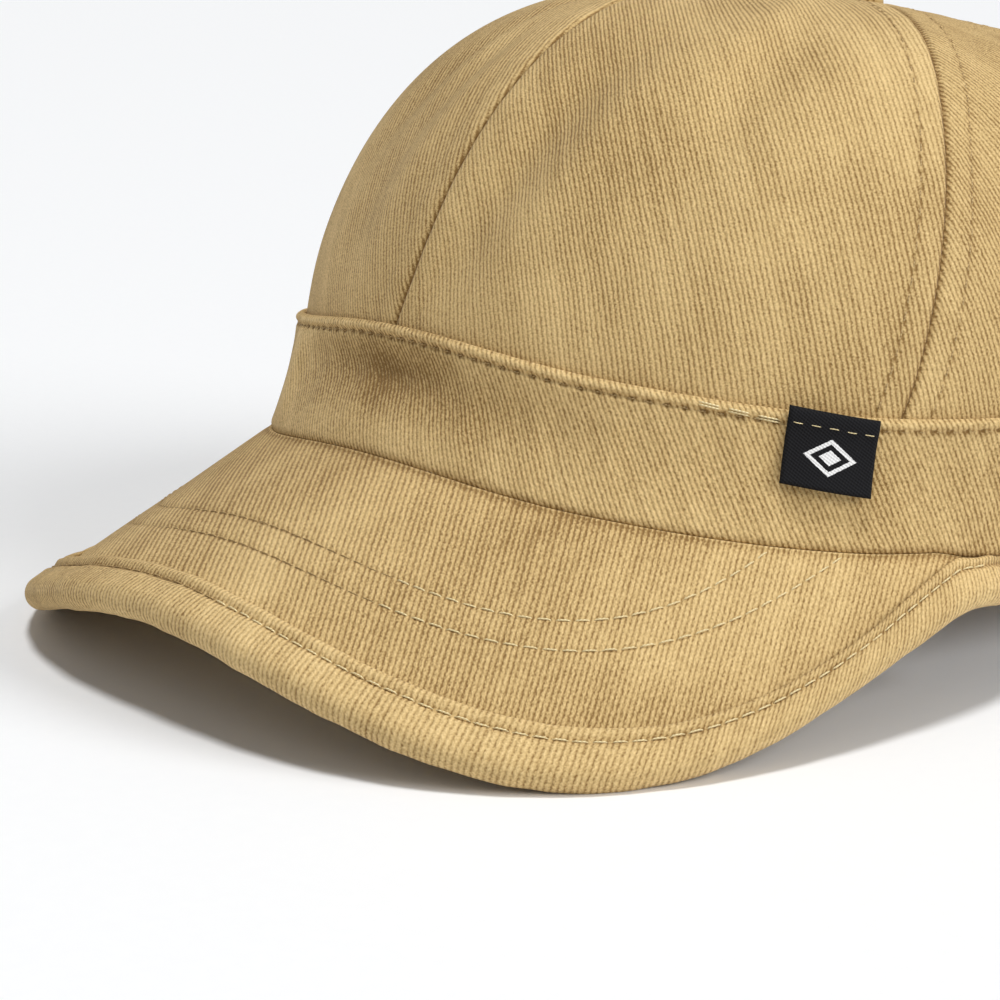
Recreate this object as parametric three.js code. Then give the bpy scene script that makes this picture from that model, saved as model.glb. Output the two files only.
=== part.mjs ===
// A six-panel dad hat with a separate band and a short peak, resting on a table.
// It is modelled upright in its own frame: the front faces -Y, the wearer's left is +X, and the rim
// lies near z = 0. The whole hat is then leant back about the rear of its rim, so that it rests on
// the rear of the band and on the two low corners of the peak.
import * as THREE from 'three';

// Driving sizes, in millimetres, with angles in degrees
const RIM_LENGTH = 194.4; // front to back, outside the band's lower edge
const RIM_WIDTH = 170.8; // side to side, outside the band's lower edge
const RIM_SQUARENESS = 2.11; // superellipse exponent of the rim seen from above
const TILT = 10.4; // how far the hat leans back as it lies
const CLEARANCE = 0.3; // gap between pieces that are sewn together

const BAND_HEIGHT = 22.5;
const BAND_WALL = 1.2;

const PANEL_WALL = 1.6;
const PANEL_TUCK = 8; // how far the panels reach down inside the band
const CROWN_HEIGHT = 97; // rim plane to the button's seat
const CROWN_TOP_SHIFT = 6.2; // the button's seat behind the middle of the rim
const CROWN_FULLNESS = 0.6; // power of the cosine: less is fuller
const CROWN_ROUNDNESS = 1.05; // power of the sine
const HUB_RADIUS = 5; // open ring that the panels leave for the button's stem

const PEAK_REACH = 39.6; // front of the rim to the middle of the peak's edge
const PEAK_WIDTH = 176.8;
const PEAK_STATION = 43.5; // the peak's widest place, behind the front of the rim
const PEAK_SQUARENESS = 2.45; // superellipse exponent of the peak's outline
const PEAK_PITCH = 33.3; // slope along the middle of the peak at the rim
const PEAK_BOW_RADIUS = 1015; // the slope steepens outwards along this radius
const PEAK_ARCH_RADIUS = 89.7; // arch from side to side
const PEAK_WALL = 3.4;
const PEAK_TUCK = 2.2; // how far the peak reaches in under the band
const PEAK_END_TUCK = 5.2; // the same at the peak's two ends

const BINDING_WALL = 1;
const BINDING_FLANGE = 6.5; // from the middle of the edge to the binding's hem

const TAB_WIDTH = 15.7;
const TAB_HEIGHT = 13;
const TAB_WALL = 1;
const TAB_ANGLE = 56; // place of the tab round the band
const TAB_RISE = 0.3; // the tab's top edge above the band's
const TAB_SKEW = 1.3; // fall of the tab's rear edge
const TAB_LIFT = 1; // how far its loose lower edge stands off

const BUTTON_RADIUS = 8;
const BUTTON_HEIGHT = 4.6;
const BUTTON_SKIRT = 0.2; // share of its height that is straight before the dome
const BUTTON_ROUNDNESS = 0.8; // power of the cosine

const ARCH_WIDTH = 72; // opening over the strap at the back
const ARCH_HEIGHT = 46;
const STRAP_WIDTH = 16;
const STRAP_WALL = 1.6;
const STRAP_RISE = 3; // the strap's lower edge above the rim
const STRAP_OVERLAP = 12; // reach past each side of the arch
const BUCKLE_LENGTH = 9;
const BUCKLE_WALL = 1.6;
const BUCKLE_SLACK = 0.45; // gap between the strap and the buckle
const BUCKLE_ANGLE = 187;

// Stations round the rim, the same on both sides. Reach is a share of the half sizes, and rise
// and lean are shares of the band's height.
const RIM = [
  { angle: 0, reach: 0.993, rise: 0.2, lean: 0.167 },
  { angle: 30, reach: 0.997, rise: 0.085, lean: 0.135 },
  { angle: 60, reach: 1.01, rise: 0.09, lean: 0.048 },
  { angle: 90, reach: 1.006, rise: 0.309, lean: -0.071 },
  { angle: 120, reach: 0.998, rise: 0.2, lean: -0.035 },
  { angle: 150, reach: 0.998, rise: -0.13, lean: 0 },
  { angle: 180, reach: 1, rise: -0.03, lean: 0 },
];
const RIM_STEP = 30;

// How far the band's face lies inwards at each height, as a share of its wall
const BAND_PROFILE = [
  { share: 0, hollow: 0 },
  { share: 0.25, hollow: 0.35 },
  { share: 0.5, hollow: 0.5 },
  { share: 0.75, hollow: 0.3 },
  { share: 1, hollow: 0 },
];
const PROFILE_STEP = 0.25;

// Soft dents of the band. Share is the place up its height, and depth is a share of its wall, inwards
const DENTS = [
  { angle: -3, share: 0.62, depth: 1.4, width: 13, height: 0.22 },
  { angle: 12, share: 0.55, depth: 0.8, width: 14, height: 0.25 },
  { angle: -26, share: 0.55, depth: -0.7, width: 4, height: 0.5 },
  { angle: 34, share: 0.5, depth: 0.3, width: 10, height: 0.3 },
];
const DENT_MARGIN = 0.2; // share of the band's height where a dent fades out

// Seams between the panels. Sweep is how far each turns back towards the front at its foot.
const SEAMS = {
  front: { angle: 0, sweep: 0 },
  side: { angle: 67.5, sweep: 3.6 },
  rear: { angle: 124, sweep: 0 },
  back: { angle: 180, sweep: 0 },
};
const SEAM_SWEEP_RATE = 6;

// Soft dents and folds of the crown. Depth is a share of the panel's wall, inwards, and slant is
// how many degrees round the crown the fold moves from its low end to its high end.
const FOLDS = [
  { angle: 14, climb: 0.3, depth: 1.2, width: 5, length: 0.35, slant: 14 },
  { angle: 27, climb: 0.45, depth: -0.7, width: 6, length: 0.3, slant: 12 },
  { angle: 40, climb: 0.4, depth: 0.8, width: 6, length: 0.3, slant: 10 },
  { angle: 76, climb: 0.25, depth: 1.1, width: 5, length: 0.25, slant: -8 },
  { angle: -22, climb: 0.35, depth: 1, width: 7, length: 0.35, slant: -8 },
  { angle: -58, climb: 0.4, depth: 1, width: 8, length: 0.3, slant: 10 },
  { angle: 112, climb: 0.35, depth: 1, width: 8, length: 0.3, slant: 8 },
  { angle: -118, climb: 0.35, depth: 1.2, width: 9, length: 0.3, slant: -8 },
];

// Mesh fineness: cells along and across each sheet
const CROWN_ROWS = 20;
const TUCK_ROWS = 2;
const ROW_EASE = 1.35; // rows crowd towards the rim a little
const PANEL_COLUMNS = 8;
const BAND_COLUMNS = 74;
const BAND_ROWS = 5;
const PEAK_COLUMNS = 48;
const PEAK_ROWS = 8;
const BINDING_TURN_ROWS = 6;
const FLANGE_ROWS = 2;
const TAB_COLUMNS = 5;
const TAB_ROWS = 4;
const STRAP_COLUMNS = 18;
const BUTTON_SIDES = 20;
const BUTTON_ROWS = 6;
const PROBE = 1e-3; // step for slopes
const PEAK_PROBE = 0.01; // the same on the peak, as a share of its spread

const TWILL = new THREE.MeshStandardMaterial({ color: 0xa88a58, roughness: 0.92, metalness: 0 });
const BLACK_WEAVE = new THREE.MeshStandardMaterial({ color: 0x141416, roughness: 0.8, metalness: 0 });
const BRASS = new THREE.MeshStandardMaterial({ color: 0x9a7f4c, roughness: 0.4, metalness: 0.9 });

const rad = THREE.MathUtils.degToRad;
const deg = THREE.MathUtils.radToDeg;
const { clamp, lerp, smoothstep } = THREE.MathUtils;
const signedPower = (value, power) => Math.sign(value) * Math.abs(value) ** power;

// A closed body between a face and a back, each a grid of points
function sheet(columns, rows, face, back) {
  const positions = [];
  for (const side of [face, back]) {
    for (let i = 0; i <= columns; i++) {
      for (let j = 0; j <= rows; j++) positions.push(...side(i, j).toArray());
    }
  }
  const at = (side, i, j) => (side * (columns + 1) + i) * (rows + 1) + j;
  const triangles = [];
  const quad = (a, b, c, d) => triangles.push(a, b, c, a, c, d);
  for (let i = 0; i < columns; i++) {
    for (let j = 0; j < rows; j++) {
      quad(at(0, i, j), at(0, i + 1, j), at(0, i + 1, j + 1), at(0, i, j + 1));
      quad(at(1, i, j), at(1, i, j + 1), at(1, i + 1, j + 1), at(1, i + 1, j));
    }
    quad(at(0, i, 0), at(1, i, 0), at(1, i + 1, 0), at(0, i + 1, 0));
    quad(at(0, i, rows), at(0, i + 1, rows), at(1, i + 1, rows), at(1, i, rows));
  }
  for (let j = 0; j < rows; j++) {
    quad(at(0, 0, j), at(0, 0, j + 1), at(1, 0, j + 1), at(1, 0, j));
    quad(at(0, columns, j), at(1, columns, j), at(1, columns, j + 1), at(0, columns, j + 1));
  }
  const geometry = new THREE.BufferGeometry();
  geometry.setAttribute('position', new THREE.Float32BufferAttribute(positions, 3));
  geometry.setIndex(enclosedVolume(positions, triangles) < 0 ? triangles.reverse() : triangles);
  geometry.computeVertexNormals();
  return geometry;
}

function enclosedVolume(positions, triangles) {
  const [a, b, c] = [new THREE.Vector3(), new THREE.Vector3(), new THREE.Vector3()];
  let volume = 0;
  for (let k = 0; k < triangles.length; k += 3) {
    a.fromArray(positions, 3 * triangles[k]);
    b.fromArray(positions, 3 * triangles[k + 1]);
    c.fromArray(positions, 3 * triangles[k + 2]);
    volume += a.dot(b.cross(c)) / 6;
  }
  return volume;
}

// The unit normal of a surface given by two numbers
function normalOf(surface, u, v, stepU, stepV, topV) {
  const alongU = surface(u + stepU, v).sub(surface(u - stepU, v));
  const alongV = surface(u, Math.min(v + stepV, topV)).sub(surface(u, v - stepV));
  return alongU.cross(alongV).normalize();
}

// A smooth curve through one column of a table with even steps
function through(values, place) {
  const last = values.length - 1;
  const cell = clamp(Math.floor(place), 0, last - 1);
  const share = place - cell;
  const value = (index) => values[index < 0 ? -index : index > last ? 2 * last - index : index];
  const [before, start, end, after] = [-1, 0, 1, 2].map((offset) => value(cell + offset));
  const slope = (end - before) / 2;
  const nextSlope = (after - start) / 2;
  const rise = end - start;
  return start + share * (slope + share * (3 * rise - 2 * slope - nextSlope
    + share * (slope + nextSlope - 2 * rise)));
}

const wrapped = (angle) => angle - 360 * Math.round(angle / 360);
const rimColumn = (name, angle) => through(RIM.map((row) => row[name]), Math.abs(wrapped(angle)) / RIM_STEP);

// The height of the table in the hat's own frame
const tableHeight = (y) => (y - RIM_LENGTH / 2) * Math.tan(rad(TILT));

function aboveTable(point) {
  point.z = Math.max(point.z, tableHeight(point.y));
  return point;
}

// A place on the rim seen from above, moved inwards by inset
function planPoint(angle, inset) {
  const [sine, cosine] = [Math.sin(rad(angle)), Math.cos(rad(angle))];
  const reach = rimColumn('reach', angle);
  const outwards = new THREE.Vector2(sine * RIM_LENGTH, -cosine * RIM_WIDTH).normalize();
  const x = reach * RIM_WIDTH / 2 * signedPower(sine, 2 / RIM_SQUARENESS);
  const y = -reach * RIM_LENGTH / 2 * signedPower(cosine, 2 / RIM_SQUARENESS);
  return new THREE.Vector2(x, y).addScaledVector(outwards, -inset);
}

const rimRise = (angle) => rimColumn('rise', angle) * BAND_HEIGHT;

function dentDepth(angle, share) {
  let depth = 0;
  for (const dent of DENTS) {
    const across = wrapped(angle - dent.angle) / dent.width;
    const up = (share - dent.share) / dent.height;
    depth += dent.depth * BAND_WALL * Math.exp(-across * across - up * up);
  }
  return depth * smoothstep(share, 0, DENT_MARGIN) * (1 - smoothstep(share, 1 - DENT_MARGIN, 1));
}

// A place on the band: share goes from its lower to its upper edge, depth goes inwards
function bandPoint(angle, share, depth) {
  const hollow = BAND_WALL * through(BAND_PROFILE.map((row) => row.hollow), clamp(share, 0, 1) / PROFILE_STEP);
  const lean = rimColumn('lean', angle) * BAND_HEIGHT * share;
  const plan = planPoint(angle, depth + hollow + lean + dentDepth(angle, share));
  return new THREE.Vector3(plan.x, plan.y, rimRise(angle) + BAND_HEIGHT * share);
}

// The crown. Climb goes from 0 at the band's upper edge to 1 at the hub, and below 0 into the band
const crownDepth = BAND_WALL + CLEARANCE;
const tuckClimb = TUCK_ROWS / CROWN_ROWS;
const topTurn = Math.acos((HUB_RADIUS / (RIM_WIDTH / 2)) ** (1 / CROWN_FULLNESS));
const turnAt = (climb) => topTurn * (1 - (1 - climb) ** ROW_EASE);

function foldDepth(angle, climb) {
  let depth = 0;
  for (const fold of FOLDS) {
    const along = (climb - fold.climb) / fold.length;
    const across = wrapped(angle - fold.angle - fold.slant * along) / fold.width;
    depth += fold.depth * PANEL_WALL * Math.exp(-along * along - across * across);
  }
  return depth * smoothstep(climb, 0, tuckClimb) * (1 - smoothstep(climb, 1 - 2 * tuckClimb, 1 - tuckClimb));
}

function crownPoint(angle, climb) {
  if (climb <= 0) return bandPoint(angle, 1 + climb / tuckClimb * PANEL_TUCK / BAND_HEIGHT, crownDepth);
  const foot = bandPoint(angle, 1, crownDepth + foldDepth(angle, climb));
  const turn = turnAt(climb);
  const spread = Math.cos(turn) ** CROWN_FULLNESS;
  return new THREE.Vector3(
    foot.x * spread,
    lerp(CROWN_TOP_SHIFT, foot.y, spread),
    lerp(foot.z, CROWN_HEIGHT, Math.sin(turn) ** CROWN_ROUNDNESS),
  );
}

function crownInside(angle, climb) {
  const normal = normalOf(crownPoint, angle, climb, PROBE, PROBE, 1);
  return crownPoint(angle, climb).addScaledVector(normal, -PANEL_WALL);
}

// Where a column of a back panel starts: at the foot of the tuck, or on the arch
function startClimb(angle) {
  const foot = bandPoint(angle, 1, crownDepth);
  const across = 2 * foot.x / ARCH_WIDTH;
  if (foot.y < 0 || Math.abs(across) >= 1) return -tuckClimb;
  const height = ARCH_HEIGHT * Math.sqrt(1 - across * across) - foot.z;
  if (height <= 0) return Math.max(height / PANEL_TUCK, -1) * tuckClimb;
  const turn = Math.asin((height / (CROWN_HEIGHT - foot.z)) ** (1 / CROWN_ROUNDNESS));
  return 1 - (1 - turn / topTurn) ** (1 / ROW_EASE);
}

const seamAngle = (seam, climb) => seam.angle - seam.sweep * Math.exp(-SEAM_SWEEP_RATE * Math.max(climb, 0));

// One panel between two seams. Side is 1 on the wearer's left and -1 on the right
function panel(from, to, side, shares) {
  const rows = CROWN_ROWS + TUCK_ROWS;
  const place = (i, j, surface) => {
    const start = startClimb(side * lerp(seamAngle(from, 0), seamAngle(to, 0), shares[i]));
    const climb = lerp(start, 1, j / rows);
    const radius = RIM_WIDTH / 2 * (climb > 0 ? Math.cos(turnAt(climb)) ** CROWN_FULLNESS : 1);
    const gap = deg(CLEARANCE / 2 / radius);
    return surface(side * lerp(seamAngle(from, climb) + gap, seamAngle(to, climb) - gap, shares[i]), climb);
  };
  return sheet(shares.length - 1, rows, (i, j) => place(i, j, crownPoint), (i, j) => place(i, j, crownInside));
}

const evenShares = (columns) => Array.from({ length: columns + 1 }, (_, i) => i / columns);

// The side of the arch, as an angle round the rim
const archAngle = 180 - deg(Math.asin((ARCH_WIDTH / RIM_WIDTH) ** (RIM_SQUARENESS / 2)));

// Columns of a back panel: half of them beside the arch, half over it and closer at its side
function backShares() {
  const half = PANEL_COLUMNS / 2;
  const archShare = (archAngle - SEAMS.rear.angle) / (SEAMS.back.angle - SEAMS.rear.angle);
  const beside = evenShares(half).map((share) => share * archShare);
  const over = evenShares(half + 1).slice(1).map((share) => 1 - (1 - archShare) * Math.cos(share * Math.PI / 2));
  return [...beside, ...over];
}

function band() {
  const place = (depth) => (i, j) => {
    const angle = lerp(-archAngle, archAngle, i / BAND_COLUMNS);
    return aboveTable(bandPoint(angle, j / BAND_ROWS, depth));
  };
  return sheet(BAND_COLUMNS, BAND_ROWS, place(0), place(BAND_WALL));
}

// The peak's top surface over a place seen from above
function peakHeight(x, y) {
  const forward = y + RIM_LENGTH / 2;
  const arch = x * x / (2 * PEAK_ARCH_RADIUS);
  return rimRise(0) + forward * Math.tan(rad(PEAK_PITCH)) - forward * forward / (2 * PEAK_BOW_RADIUS) - arch;
}

// The peak's outline seen from above. Turn is 0 in the middle of its front edge
function outlinePoint(turn) {
  const power = 2 / PEAK_SQUARENESS;
  const middle = -RIM_LENGTH / 2 + PEAK_STATION;
  return new THREE.Vector2(
    PEAK_WIDTH / 2 * signedPower(Math.sin(rad(turn)), power),
    middle - (PEAK_REACH + PEAK_STATION) * signedPower(Math.cos(rad(turn)), power),
  );
}

// The angle round the rim of a place seen from above
function rimAngle(place) {
  const power = RIM_SQUARENESS / 2;
  const across = signedPower(2 * place.x / RIM_WIDTH, power);
  return deg(Math.atan2(across, signedPower(-2 * place.y / RIM_LENGTH, power)));
}

// Where the peak's outline passes in under the band
function peakEnd() {
  let [low, high] = [90, 170];
  while (high - low > PROBE) {
    const turn = (low + high) / 2;
    const place = outlinePoint(turn);
    const outside = place.length() > planPoint(rimAngle(place), BAND_WALL).length();
    [low, high] = outside ? [turn, high] : [low, turn];
  }
  return { turn: low, angle: rimAngle(outlinePoint(low)) };
}
const END = peakEnd();

const FLANGE_LIMIT = 0.75; // the most of a short spoke that the binding's flange covers

// Shares of the way from the peak's middle to its end
const BEND_START = 0.72; // the edge starts to bend down to the rim
const LOWER_START = 0.86; // the seat starts to sink by the binding's thickness
const LOWER_STOP = 0.93;
const UNDER_START = 0.88; // the inner edge starts to turn in further under the band

// Along goes from -1 to 1 between the ends, out from -1 at the inner edge over 0 at the band's face
// to 1 at the outer edge
function peakPoint(along, out) {
  const end = smoothstep(Math.abs(along), UNDER_START, 1);
  const angle = along * END.angle;
  const sink = (BINDING_WALL + CLEARANCE) * smoothstep(Math.abs(along), LOWER_START, LOWER_STOP);
  const seat = rimRise(angle) - CLEARANCE - sink;
  const inner = planPoint(angle, lerp(PEAK_TUCK, PEAK_END_TUCK, end));
  const rim = inner.clone().lerp(planPoint(angle, 0), Math.min(out + 1, 1) * (1 - end));
  if (out <= 0) return new THREE.Vector3(rim.x, rim.y, seat);
  const outer = outlinePoint(along * END.turn);
  const plan = rim.clone().lerp(outer, out);
  const hold = lerp((1 - out) ** 2, 1, smoothstep(Math.abs(along), BEND_START, 1));
  const height = peakHeight(plan.x, plan.y) + hold * (seat - peakHeight(rim.x, rim.y));
  return new THREE.Vector3(plan.x, plan.y, height);
}

// The peak's normal and its outward direction along the surface
function peakFrame(along, out) {
  const [nearer, further] = [Math.max(out - 2 * PEAK_PROBE, PEAK_PROBE), Math.min(out + 2 * PEAK_PROBE, 1)];
  const outwards = peakPoint(along, further).sub(peakPoint(along, nearer)).normalize();
  const [before, after] = [Math.max(along - PEAK_PROBE, -1), Math.min(along + PEAK_PROBE, 1)];
  const tangent = peakPoint(after, out).sub(peakPoint(before, out)).normalize();
  const normal = outwards.clone().cross(tangent).normalize();
  if (normal.z < 0) normal.negate();
  return { normal, outwards };
}

function brim() {
  const rowOut = (j) => (j === 0 ? -1 : (j - 1) / PEAK_ROWS);
  const top = (i, j) => peakPoint(2 * i / PEAK_COLUMNS - 1, rowOut(j));
  const bottom = (i, j) => {
    const along = 2 * i / PEAK_COLUMNS - 1;
    const { normal } = peakFrame(along, Math.max(rowOut(j), PEAK_PROBE));
    return top(i, j).addScaledVector(normal, -PEAK_WALL);
  };
  return sheet(PEAK_COLUMNS, PEAK_ROWS + 1, top, bottom);
}

// The binding: a strip folded round the edge, with a flange along the peak's top and another below
function brimBinding() {
  const rows = BINDING_TURN_ROWS + 2 * FLANGE_ROWS;
  const place = (radius) => (i, j) => {
    const along = 2 * i / PEAK_COLUMNS - 1;
    const spoke = peakPoint(along, 1).distanceTo(peakPoint(along, 0));
    const turned = clamp(j - FLANGE_ROWS, 0, BINDING_TURN_ROWS);
    const back = Math.abs(j - FLANGE_ROWS - turned) / FLANGE_ROWS;
    const out = 1 - back * Math.min(BINDING_FLANGE / spoke, FLANGE_LIMIT);
    const turn = Math.PI * turned / BINDING_TURN_ROWS;
    const { normal, outwards } = peakFrame(along, out);
    const point = peakPoint(along, out).addScaledVector(normal, radius * Math.cos(turn) - PEAK_WALL / 2);
    return aboveTable(point.addScaledVector(outwards, radius * Math.sin(turn)));
  };
  const inside = PEAK_WALL / 2 + CLEARANCE;
  return sheet(PEAK_COLUMNS, rows, place(inside + BINDING_WALL), place(inside));
}

// The folded tab, sewn over the band's upper edge and loose at its lower edge
function labelTab() {
  const width = deg(TAB_WIDTH / Math.hypot(...planPoint(TAB_ANGLE, 0).toArray()));
  const place = (depth) => (i, j) => {
    const across = i / TAB_COLUMNS - 0.5;
    const down = 1 - j / TAB_ROWS;
    const height = BAND_HEIGHT + TAB_RISE - TAB_HEIGHT * down - TAB_SKEW * across;
    return bandPoint(TAB_ANGLE + across * width, height / BAND_HEIGHT, depth - CLEARANCE - TAB_LIFT * down * down);
  };
  return sheet(TAB_COLUMNS, TAB_ROWS, place(-TAB_WALL), place(0));
}

// The covered button: a dome with a stem through the hub
function topButton() {
  const stem = HUB_RADIUS - 2 * CLEARANCE;
  const dome = evenShares(BUTTON_ROWS).map((share) => new THREE.Vector2(
    BUTTON_RADIUS * Math.cos(share * Math.PI / 2) ** BUTTON_ROUNDNESS,
    BUTTON_HEIGHT * lerp(BUTTON_SKIRT, 1, Math.sin(share * Math.PI / 2)),
  ));
  dome[dome.length - 1].x = 0;
  const profile = [
    new THREE.Vector2(0, -PANEL_WALL),
    new THREE.Vector2(stem, -PANEL_WALL),
    new THREE.Vector2(stem, 0),
    new THREE.Vector2(BUTTON_RADIUS - CLEARANCE, 0),
    ...dome,
  ];
  const geometry = new THREE.LatheGeometry(profile, BUTTON_SIDES);
  geometry.rotateX(Math.PI / 2);
  geometry.translate(0, CROWN_TOP_SHIFT, CROWN_HEIGHT + CLEARANCE);
  return geometry;
}

// The strap runs inside the panels' lower edges, from one side of the arch to the other
const deepestHollow = BAND_WALL * Math.max(...BAND_PROFILE.map((row) => row.hollow));
const strapDepth = BAND_WALL + deepestHollow + PANEL_WALL + 2 * CLEARANCE;
const strapPoint = (angle, height, depth) => {
  const plan = planPoint(angle, strapDepth + depth);
  return new THREE.Vector3(plan.x, plan.y, rimRise(180) + STRAP_RISE + height);
};

function backStrap() {
  const reach = 180 - archAngle + deg(STRAP_OVERLAP / (RIM_LENGTH / 2));
  const place = (depth) => (i, j) => strapPoint(180 + lerp(-reach, reach, i / STRAP_COLUMNS), j * STRAP_WIDTH, depth);
  return sheet(STRAP_COLUMNS, 1, place(0), place(STRAP_WALL));
}

// The slide buckle: a flat loop that the strap runs through
function strapBuckle() {
  const loop = (margin) => {
    const [halfDepth, halfHeight] = [STRAP_WALL / 2 + margin, STRAP_WIDTH / 2 + margin];
    return [[-1, -1], [1, -1], [1, 1], [-1, 1]].map(([x, y]) => new THREE.Vector2(x * halfDepth, y * halfHeight));
  };
  const outline = new THREE.Shape(loop(BUCKLE_SLACK + BUCKLE_WALL));
  outline.holes.push(new THREE.Path(loop(BUCKLE_SLACK).reverse()));
  const geometry = new THREE.ExtrudeGeometry(outline, { depth: BUCKLE_LENGTH, bevelEnabled: false });
  geometry.translate(0, 0, -BUCKLE_LENGTH / 2);
  const middle = (depth) => strapPoint(BUCKLE_ANGLE, STRAP_WIDTH / 2, depth);
  const inwards = middle(1).sub(middle(0)).normalize();
  const up = new THREE.Vector3(0, 0, 1);
  const basis = new THREE.Matrix4().makeBasis(inwards, up, inwards.clone().cross(up));
  geometry.applyMatrix4(basis.setPosition(middle(STRAP_WALL / 2)));
  return geometry;
}

const { front, side, rear, back } = SEAMS;
const even = evenShares(PANEL_COLUMNS);
const pieces = [
  ['panel_front_left', panel(front, side, 1, even), TWILL],
  ['panel_front_right', panel(front, side, -1, even), TWILL],
  ['panel_side_left', panel(side, rear, 1, even), TWILL],
  ['panel_side_right', panel(side, rear, -1, even), TWILL],
  ['panel_back_left', panel(rear, back, 1, backShares()), TWILL],
  ['panel_back_right', panel(rear, back, -1, backShares()), TWILL],
  ['band', band(), TWILL],
  ['brim', brim(), TWILL],
  ['brim_binding', brimBinding(), TWILL],
  ['label_tab', labelTab(), BLACK_WEAVE],
  ['top_button', topButton(), TWILL],
  ['back_strap', backStrap(), TWILL],
  ['strap_buckle', strapBuckle(), BRASS],
];

const hat = new THREE.Group();
hat.rotation.x = -rad(TILT);
for (const [name, geometry, material] of pieces) {
  const mesh = new THREE.Mesh(geometry, material.clone());
  mesh.name = name;
  hat.add(mesh);
}

// The origin is under the middle of the hat's box, on the table
const group = new THREE.Group();
group.add(hat);
group.updateMatrixWorld(true);
const box = new THREE.Box3().setFromObject(hat, true);
const middle = box.getCenter(new THREE.Vector3());
hat.position.set(-middle.x, -middle.y, -box.min.z);

export default group;
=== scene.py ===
import math

import bpy
import numpy as np
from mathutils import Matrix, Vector


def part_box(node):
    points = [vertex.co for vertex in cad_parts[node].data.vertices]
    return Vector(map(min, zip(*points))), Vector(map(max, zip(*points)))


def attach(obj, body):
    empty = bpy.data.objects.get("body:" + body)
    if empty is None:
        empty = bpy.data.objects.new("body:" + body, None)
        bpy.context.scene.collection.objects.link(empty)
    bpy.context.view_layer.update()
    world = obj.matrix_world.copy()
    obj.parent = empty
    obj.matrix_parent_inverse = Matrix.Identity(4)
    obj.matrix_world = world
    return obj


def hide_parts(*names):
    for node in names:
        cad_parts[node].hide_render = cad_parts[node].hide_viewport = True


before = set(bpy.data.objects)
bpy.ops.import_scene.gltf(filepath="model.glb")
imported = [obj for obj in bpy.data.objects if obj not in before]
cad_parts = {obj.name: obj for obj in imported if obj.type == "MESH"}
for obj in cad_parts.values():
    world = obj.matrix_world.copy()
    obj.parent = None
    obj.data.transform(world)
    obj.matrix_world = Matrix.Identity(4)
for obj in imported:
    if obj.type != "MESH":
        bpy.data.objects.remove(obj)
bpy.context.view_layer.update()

# Driving sizes in millimetres and degrees, the same as the solids'
MM = 0.001
RIM_LENGTH = 194.4
RIM_WIDTH = 170.8
RIM_SQUARENESS = 2.11
TILT = 10.4
CLEARANCE = 0.3
BAND_HEIGHT = 22.5
BAND_WALL = 1.2
PANEL_WALL = 1.6
PANEL_TUCK = 8
CROWN_HEIGHT = 97
CROWN_TOP_SHIFT = 6.2
CROWN_FULLNESS = 0.6
CROWN_ROUNDNESS = 1.05
HUB_RADIUS = 5
PEAK_REACH = 39.6
PEAK_WIDTH = 176.8
PEAK_STATION = 43.5
PEAK_SQUARENESS = 2.45
PEAK_PITCH = 33.3
PEAK_BOW_RADIUS = 1015
PEAK_ARCH_RADIUS = 89.7
PEAK_WALL = 3.4
PEAK_TUCK = 2.2
PEAK_END_TUCK = 5.2
BINDING_WALL = 1
BINDING_FLANGE = 6.5
TAB_WIDTH = 15.7
TAB_HEIGHT = 13
TAB_WALL = 1
TAB_ANGLE = 56
TAB_RISE = 0.3
TAB_SKEW = 1.3
TAB_LIFT = 1
BUTTON_RADIUS = 8
BUTTON_HEIGHT = 4.6
ARCH_WIDTH = 72
ARCH_HEIGHT = 46
STRAP_WIDTH = 16
STRAP_WALL = 1.6
STRAP_RISE = 3
STRAP_OVERLAP = 12
BUCKLE_LENGTH = 9
BUCKLE_WALL = 1.6
BUCKLE_ANGLE = 187

# Stations round the rim every 30 degrees from the front: shares of the half size and the band height
RIM_STEP = 30
RIM_REACH = [0.993, 0.997, 1.01, 1.006, 0.998, 0.998, 1]
RIM_RISE = [0.2, 0.085, 0.09, 0.309, 0.2, -0.13, -0.03]
RIM_LEAN = [0.167, 0.135, 0.048, -0.071, -0.035, 0, 0]
BAND_HOLLOW = [0, 0.35, 0.5, 0.3, 0]
SEAMS = {"front": (0, 0), "side": (67.5, 3.6), "rear": (124, 0), "back": (180, 0)}
SEAM_SWEEP_RATE = 6
TUCK_CLIMB = 0.1
ROW_EASE = 1.35

# Soft folds of the crown: angle, climb, depth as a share of the wall, width, length, slant
FOLDS = [
    (14, 0.3, 1.2, 5, 0.35, 14),
    (27, 0.45, -0.7, 6, 0.3, 12),
    (40, 0.4, 0.8, 6, 0.3, 10),
    (76, 0.25, 1.1, 5, 0.25, -8),
    (-22, 0.35, 1, 7, 0.35, -8),
    (-58, 0.4, 1, 8, 0.3, 10),
    (112, 0.35, 1, 8, 0.3, 8),
    (-118, 0.35, 1.2, 9, 0.3, -8),
]

# Dents of the band: angle, share of its height, depth as a share of its wall, width, height share
DENTS = [
    (-3, 0.62, 1.4, 13, 0.22),
    (12, 0.55, 0.8, 14, 0.25),
    (-26, 0.55, -0.7, 4, 0.5),
    (34, 0.5, 0.3, 10, 0.3),
]
DENT_MARGIN = 0.2

# Camera, from the rear of the rim on the table, in millimetres
CAMERA_PLACE = (395.0, -489.2, 149.5)
CAMERA_AZIMUTH = 50.09
CAMERA_ELEVATION = 13.5
CAMERA_LENS = 104.1


def signed_power(value, power):
    return np.sign(value) * np.abs(value) ** power


def smooth(value, low, high):
    share = np.clip((value - low) / (high - low), 0, 1)
    return share * share * (3 - 2 * share)


def bump(value, centre, width):
    return np.exp(-(((value - centre) / width) ** 2))


def mix(start, end, share):
    return start + (end - start) * share


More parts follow.
